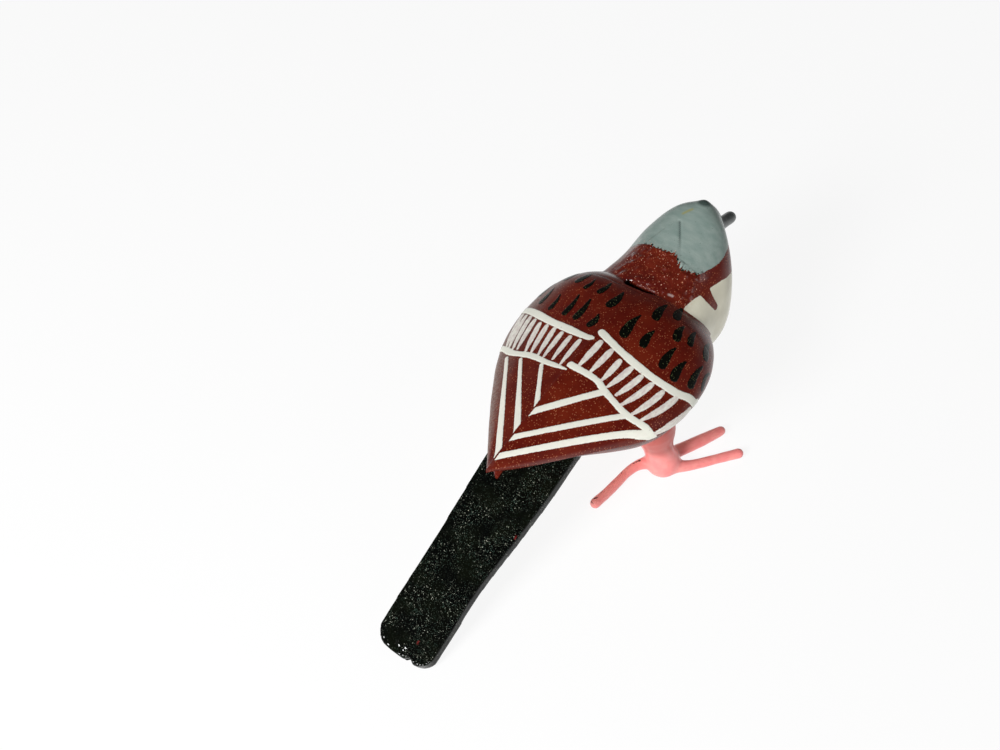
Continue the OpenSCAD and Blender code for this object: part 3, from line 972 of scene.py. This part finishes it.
def chamber_solid():
    """The hollow of the body, with rounded ends."""
    angles = around(96)
    steps = np.linspace(0, 1, 40)
    wall = WING_T + 4.5
    return loft("cutter", [body_ring(-6 + 37 * v, angles, wall + 5 * abs(2 * v - 1) ** 6) for v in steps])


TAIL_PITCH = math.radians(28)
TAIL_T = 3.6
FLOOR_T = 2.4
TAIL_LEN = 71
WINDWAY_W = 9
WINDWAY_H = 1.6
WINDOW_LEN = 4.6
# Finger holes: place on the belly as x and y, and radius
HOLES = ((7, 1, 2.8 - 0.4), (-7, 1, 2.8), (5, 28, 2.8 + 0.2), (-5, 28, 2.8 - 0.2))
HOLE_TILT = math.radians(22)


def on_tail(points):
    """From the tail's own frame to the bird's."""
    x, y, z = np.asarray(points, float).T
    c, s = math.cos(TAIL_PITCH), math.sin(TAIL_PITCH)
    return np.stack([x, y * c - z * s + TAIL_END_Y + TAIL_T * s, y * s + z * c], 1)


def tail_box(low, high):
    cutter = box_between(low, high)
    move_points(cutter, on_tail(points_of(cutter)))
    return cutter


def tail_outline():
    """The tail board's outline in the tail's frame, from its left corner, with corners rounded."""
    points = np.array([
        (-9.3, 4.4), (-8.4, 2.6), (-7.2, 1.2), (-5.8, 0.4), (-4.0, 0.1), (-0.6, 0), (3.2, 0), (4.6, 0.2),
        (6.0, 0.9), (7.1, 2.0), (7.7, 3.4), (7.6, 13), (7.3, 18), (7.5, 25), (8.2, 32.5), (9.0, 40),
        (9.8, 50), (TAIL_HALF_W, 60), (TAIL_HALF_W, TAIL_LEN), (-TAIL_HALF_W, TAIL_LEN), (-TAIL_HALF_W, 52),
        (-9.7, 37), (-9.3, 26),
    ])
    for _ in range(2):
        following = np.roll(points, -1, axis=0)
        points = np.stack([points * 0.8 + following * 0.2, points * 0.2 + following * 0.8], 1).reshape(-1, 2)
    return points


def rod_rings(path, radii, sides=28):
    """Rings of a round rod with domed ends along a path."""
    path = np.array(path, float)
    dirs = np.gradient(path, axis=0)
    dirs /= np.linalg.norm(dirs, axis=1)[:, None]
    across = np.cross(dirs, (0.03, 0.02, 1))
    across /= np.linalg.norm(across, axis=1)[:, None]
    lift = np.cross(across, dirs)
    turns = around(sides)

    def ring(i, shift, radius):
        return (path[i] + dirs[i] * shift
                + radius * (np.cos(turns)[:, None] * across[i] + np.sin(turns)[:, None] * lift[i]))

    domes = np.radians([8, 25, 45, 68])
    rings = [ring(0, -radii[0] * math.cos(a), radii[0] * math.sin(a)) for a in domes]
    rings += [ring(i, 0, radii[i]) for i in range(len(path))]
    rings += [ring(-1, radii[-1] * math.cos(a), radii[-1] * math.sin(a)) for a in domes[::-1]]
    return rings


def make_cylinder(centre, direction, radius, length, sides=48):
    """A cylinder that starts at centre and runs in a direction."""
    d = np.array(direction, float) / np.linalg.norm(direction)
    across = np.cross(d, (0, 1, 0))
    across /= np.linalg.norm(across)
    lift = np.cross(across, d)
    turns = around(sides)
    circle = radius * (np.cos(turns)[:, None] * across + np.sin(turns)[:, None] * lift)
    return loft("cutter", [np.array(centre) + circle, np.array(centre) + d * length + circle])


FAR = 150


def make_body(paint):
    core = make_core()

    # Head and neck block, ahead of the slanting joint and above the seam
    joint = box_between((-FAR, 0, -FAR), (FAR, FAR, FAR))
    lean = math.atan2(JOINT_RISE, JOINT_RUN)
    x, y, z = points_of(joint).T
    c, s = math.cos(lean), math.sin(lean)
    move_points(joint, np.stack([x, JOINT_Y + y * c + z * s, JOINT_Z + y * s - z * c], 1))
    joint.data.flip_normals()

    head = copy_of(core, "head_and_neck")
    trim(head, joint, keep=True)
    trim(head, box_between((-FAR, -FAR, SEAM_H), (FAR, FAR, FAR)))

    back = copy_of(core, "back_shoulders")
    cut(back, joint)
    trim(back, box_between((-FAR, RUMP_Y, SEAM_H), (FAR, FAR, FAR)))
    cut(back, chamber_solid())

    belly = copy_of(core, "belly_and_breast")
    trim(belly, box_between((-FAR, RUMP_Y, -FAR), (FAR, FAR, SEAM_H)))
    cut(belly, chamber_solid())
    cut(belly, tail_box((-TAIL_HALF_W, 0, 0), (TAIL_HALF_W, TAIL_LEN, TAIL_T)))
    window_end = TAIL_LEN + WINDOW_LEN
    cut(belly, tail_box((-WINDWAY_W / 2, TAIL_LEN - 0.5, -24), (WINDWAY_W / 2, window_end, FLOOR_T)))
    for x, y, radius in HOLES:
        direction = (math.copysign(math.sin(HOLE_TILT), x), 0, -math.cos(HOLE_TILT))
        cut(belly, make_cylinder((x, y, 30), direction, radius, 30))

    rump = copy_of(core, "rump")
    trim(rump, box_between((-FAR, -FAR, -FAR), (FAR, RUMP_Y, FAR)))
    cut(rump, tail_box((-TAIL_HALF_W, 0, 0), (TAIL_HALF_W, TAIL_LEN + 4, TAIL_T)))
    spur = loft("spur", rod_rings([(0, -32.4, 40), (-0.2, -33.0, 37.5), (-0.3, -33.6, 34.4)], [2.2, 1.5, 0.5]))
    join(rump, spur)
    bpy.data.objects.remove(core)

    for obj, slot, nodes in (
        (head, "head_paint", ("head", "nape_filler")),
        (back, "brown_paint", ("back_shell",)),
        (belly, "white_paint", ("belly_shell",)),
        (rump, "brown_paint", ("rump_block",)),
    ):
        write_fields(obj, paint_fields(points_of(obj)))
        finish_piece(obj, paint, slot, *nodes)


# --- Wings ---

def resample(points, count):
    """count points at even steps along a line of points."""
    step = np.linalg.norm(np.diff(points, axis=0), axis=1)
    along = np.concatenate([[0], np.cumsum(step)])
    return np.stack([np.interp(np.linspace(0, along[-1], count), along, points[:, k]) for k in range(3)], 1)


def wing_edge_angle(y, under):
    """Angle at which the ring at y reaches the lower edge of the wing."""
    drop = max(float(mid_h(y) - bottom_h(y)) - 0.5 * under, 0.15)
    return math.pi - math.acos(min((float(mid_h(y)) - LIP_H) / drop, 0.98))


def make_wing(name, side, paint, node):
    """A thin cover from the ridge to the lip, with its painted strokes standing up a little."""
    outer_count, lip_count, inner_count = 150, 7, 30
    rings = []
    places = np.concatenate([-37.9 + 1.9 * np.linspace(0, 1, 14, endpoint=False), np.linspace(-36, 24.6, 250)])
    for y in places:
        under = max(float(cover(y)), 0.06)
        outer = body_ring(y, np.linspace(0, wing_edge_angle(y, 0), 400) * side)
        inner = body_ring(y, np.linspace(wing_edge_angle(y, under), 0, 120) * side, under)
        outer = resample(outer, outer_count)
        inner = resample(inner, inner_count)
        turn = np.linspace(0, np.pi, lip_count + 2)[1:-1, None]
        middle = (outer[-1] + inner[0]) / 2
        half = (outer[-1] - inner[0]) / 2
        sag = np.array([0, 0, -0.35 * min(np.linalg.norm(half), 1)])
        lip = middle + half * np.cos(turn) + sag * np.sin(turn)
        ring = np.concatenate([outer, lip, inner])
        rings.append(ring if side > 0 else ring[::-1])
    wing = loft(name, rings)

    points = points_of(wing)
    normals = normals_of(wing)
    x, y = points[:, 0], points[:, 1]
    n = outer_count + lip_count + inner_count
    place = np.arange(len(points)) % n
    if side < 0:
        place = n - 1 - place
    outside = place < outer_count
    fields = paint_fields(points)
    lift = unevenness(points)
    lift += 0.13 * smooth(0.5 - fields["stroke"] / 0.3) + 0.07 * smooth(0.5 - fields["drop"] / 0.3)
    lift += 0.08 * np.exp(-(x / 0.3) ** 2) * smooth((2 - y) / 6)
    lift = np.where(outside, lift, 0) * smooth((24.6 - y) / 0.8 + 0.3)
    points = points + normals * lift[:, None]
    points[:, 0] = np.maximum(points[:, 0] * side, 0) * side
    move_points(wing, points)
    write_fields(wing, fields)
    finish_piece(wing, paint, "brown_paint", node, sharp=60)


# --- Tail ---

# Drops of paint near the tail's end: x and y in the tail's frame, radius and height
TAIL_BLOBS = [
    (-2.6, 2.9, 0.45, 0.32), (-2.0, 2.3, 0.35, 0.25), (-0.2, 2.7, 0.35, 0.30), (-0.4, 1.9, 0.30, 0.25),
    (0.4, 0.8, 0.45, 0.30), (-0.8, 0.6, 0.35, 0.25), (3.4, 0.9, 0.45, 0.30), (4.8, 1.0, 0.60, 0.34),
    (6.2, 1.5, 0.50, 0.30), (7.0, 2.8, 0.40, 0.26), (-6.6, 1.9, 0.45, 0.20), (-4.6, 1.0, 0.40, 0.20),
]

RED_MARKS = ((2.1, 4.8), (8.6, 38.6))


def make_tail(paint):
    """The tail board, made in one, and then split into its roof and its floor with the windway in it."""
    outline = tail_outline()
    low, high = (np.column_stack([outline, np.full(len(outline), z)]) for z in (0, TAIL_T))
    board = loft("tail", [on_tail(low), on_tail(high)])
    upright = (0, -math.sin(TAIL_PITCH), math.cos(TAIL_PITCH))
    nick = make_cylinder(on_tail([(2.3, -0.6, -3)])[0], upright, 1.5, 10)
    cut(board, nick)
    remesh(board, 0.3)
    relax(board, np.full(len(board.data.vertices), 0.5), 3)
    points = points_of(board)
    lift = 0.07 * lumps(points, 7) + 0.02 * lumps(points, 2)
    wet = np.zeros(len(points))
    for x, y, size, height in TAIL_BLOBS:
        gap = np.linalg.norm(points - on_tail([(x, y, TAIL_T)])[0], axis=1)
        lift += height * np.exp(-(gap / size) ** 2)
        wet = np.maximum(wet, np.exp(-(gap / size / 1.6) ** 2))
    points = points + normals_of(board) * lift[:, None]
    red = np.zeros(len(points))
    for x, y in RED_MARKS:
        mark = on_tail([(x, y, TAIL_T), (x - 0.2, y + 0.8, TAIL_T)])
        gap = segment_distance(points, mark, (0.05, 0.05))
        red = np.maximum(red, np.clip(0.4 - gap / 0.4, 0, 0.6))
    move_points(board, points)
    write_fields(board, {"red": red, "wet": wet})

    roof = copy_of(board, "tail_upper_board")
    trim(roof, tail_box((-20, -5, FLOOR_T), (20, TAIL_LEN + 5, 20)))
    floor = board
    floor.name = "tail_lower_board"
    trim(floor, tail_box((-20, -5, -20), (20, TAIL_LEN + 5, FLOOR_T)))
    low, high = (-WINDWAY_W / 2, -5, FLOOR_T - WINDWAY_H), (WINDWAY_W / 2, TAIL_LEN + 5, FLOOR_T + 1)
    cut(floor, tail_box(low, high))
    finish_piece(roof, paint, "black_paint", "tail_roof")
    finish_piece(floor, paint, "black_paint", "tail_floor")


# --- Legs and feet ---

ANKLE = np.array([15.8, 18.1, 2.6])
# Each toe: centre line from the hub to the tip, and radius along it
TOES = {
    "inner": ([(15.8, 21.4, 2.8), (17.3, 26.0, 2.1), (19.4, 31.8, 1.7), (21.7, 38.3, 1.4)],
              (1.9, 1.75, 1.75, 1.35)),
    "outer": ([(18.9, 18.3, 2.7), (22.4, 22.9, 1.9), (26.2, 28.8, 1.5), (29.8, 34.3, 1.4)],
              (1.8, 1.45, 1.35, 1.4)),
    "hind": ([(13.6, 16.1, 3.2), (12.4, 14.7, 3.0), (11.0, 12.8, 2.6), (10.0, 9.5, 2.0), (9.8, 6.0, 1.6),
              (9.6, 1.6, 1.4), (9.1, -3.6, 1.4)], (2.0, 1.7, 1.4, 1.3, 1.3, 1.35, 1.45)),
}
# Bare or dirty spots: both ends of each and its radius
CHIPS = [
    ((11.3, 13.6, 4.1), (10.3, 12.3, 3.8), 0.20), ((9.4, 9.2, 3.2), (9.3, 8.0, 2.9), 0.14),
    ((8.6, -1.2, 2.4), (8.8, 0.2, 2.6), 0.12), ((8.6, -3.4, 2.7), (9.0, -2.8, 2.8), 0.28),
    ((8.4, -4.4, 2.3), (8.9, -4.6, 2.2), 0.16), ((22.0, 39.5, 2.0), (22.6, 39.3, 1.5), 0.25),
    ((29.6, 34.3, 2.8), (30.0, 34.6, 2.8), 0.10), ((11.6, 7.0, 1.6), (11.4, 5.6, 1.5), 0.05),
]


def leg_point(height):
    """A point on the leg's axis, which leans back and inwards."""
    back, inward = math.radians(8), math.radians(11)
    x, z = -math.sin(inward) * height, math.cos(inward) * height
    return ANKLE + (x, -z * math.sin(back), z * math.cos(back))


def make_foot(side, paint):
    """Thigh, hub and three toes in one coat of paint, shaped as a right foot and mirrored for the left."""
    word = "right" if side > 0 else "left"
    heights = np.array([0.8, 3.0, 5.2, 7.2, 9.4, 11.6, 13.8, 16.4])
    widths = np.array([4.2, 4.1, 3.9, 4.0, 4.5, 5.2, 5.7, 5.8])
    foot = loft("foot_" + word, rod_rings([leg_point(h) for h in heights], widths, 40))
    turns = around(40)
    hub_rows = ((0.1, 3.0), (0.5, 3.6), (1.3, 4.2), (3.0, 4.7), (4.4, 4.6), (6.0, 4.0), (7.4, 2.6))
    hub = loft("hub", [np.stack([ANKLE[0] + r * np.cos(turns), ANKLE[1] + r * np.sin(turns),
                                 np.full(40, z)], 1) for z, r in hub_rows])
    join(foot, hub)
    for line, radii in TOES.values():
        path = curve_points(line, 24)
        swell = np.interp(np.linspace(0, 1, 24), np.linspace(0, 1, len(radii)), radii)
        join(foot, loft("toe", rod_rings(path, swell)))
    remesh(foot, 0.25)
    relax(foot, np.full(len(foot.data.vertices), 0.5), 5)
    points = points_of(foot)
    root = np.linalg.norm((points - (16.2, 19.0, 3.5)) / (7.5, 7.5, 8.0), axis=1)
    relax(foot, 0.5 * np.exp(-root ** 4), 40)
    points = points_of(foot)
    lift = 0.10 * lumps(points + side * 3, 5) + 0.04 * lumps(points, 2.2) + 0.12 * np.exp(-root ** 4)
    points = points + normals_of(foot) * lift[:, None]
    points[:, 2] = np.maximum(points[:, 2], 0.0)

    chip = np.full(len(points), 5.0)
    for start, end, radius in CHIPS:
        chip = np.minimum(chip, segment_distance(points, (start, end), (radius, radius)))
    crotch = segment_distance(points, ((17.2, 22.6, 2.6), (20.2, 23.0, 2.0)), (0, 0))
    shade = np.clip(1 - crotch / 2.2, 0, 1) * 0.7
    shade = np.maximum(shade, smooth((points[:, 2] - 7.5) / 4.5) * smooth((points[:, 0] - 11.5) / 4) * 0.85)
    if side < 0:
        points = points * (-1, 1, 1)
        foot.data.flip_normals()
    move_points(foot, points)
    write_fields(foot, {"chip": chip, "shade": shade})
    finish_piece(foot, paint, "pink_paint", "thigh_putty_" + word, "foot_putty_" + word, "inner_toe_" + word,
                 "outer_toe_" + word, "hind_toe_" + word, sharp=80)


# --- Beak ---

def make_beak(paint):
    """A blunt peg that slopes down from the head, shaped by the rows of distance from its tip and radius."""
    slope = math.radians(13)
    back = np.array([0, -math.cos(slope), math.sin(slope)])
    tip = np.array([0, 69.6, 46.5])
    rows = ((0.02, 0.3), (0.2, 0.85), (0.6, 1.35), (1.2, 1.62), (2.2, 1.72), (4, 1.70), (6.5, 1.80),
            (8.6, 2.05), (10, 2.4), (11, 2.9), (12.2, 3.2), (14, 2.4))
    turns = around(48)
    up = np.cross(back, (1, 0, 0))
    circle = np.cos(turns)[:, None] * np.array([1, 0, 0]) + np.sin(turns)[:, None] * up
    rings = [tip + back * s + r * circle for s, r in curve_points(rows, 60)]
    beak = loft("beak_peg", rings)
    points = points_of(beak)
    points = points + normals_of(beak) * (0.06 * lumps(points, 3.2))[:, None]
    move_points(beak, points)
    finish_piece(beak, paint, "beak_paint", "beak", sharp=70)


def recolour(material, *nodes):
    """Gives nodes that keep their CAD meshes a material."""
    for name in nodes:
        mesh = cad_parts[name].data
        mesh.materials.clear()
        mesh.materials.append(material)


def main():
    bpy.context.scene.view_settings.view_transform = "Standard"
    make_stage()
    paint = body_paint()
    make_body(paint)
    make_wing("wing_cover_right", 1, paint, "wing_right")
    make_wing("wing_cover_left", -1, paint, "wing_left")
    make_tail(tail_paint())
    pink = foot_paint()
    make_foot(1, pink)
    make_foot(-1, pink)
    make_beak(beak_paint())
    recolour(eye_glass(), "eye_left", "eye_right")
    recolour(bare_wood(), "fipple_block", "labium", "neck_dowel")
    recolour(wire_steel(), "leg_wire_left", "leg_wire_right")


main()
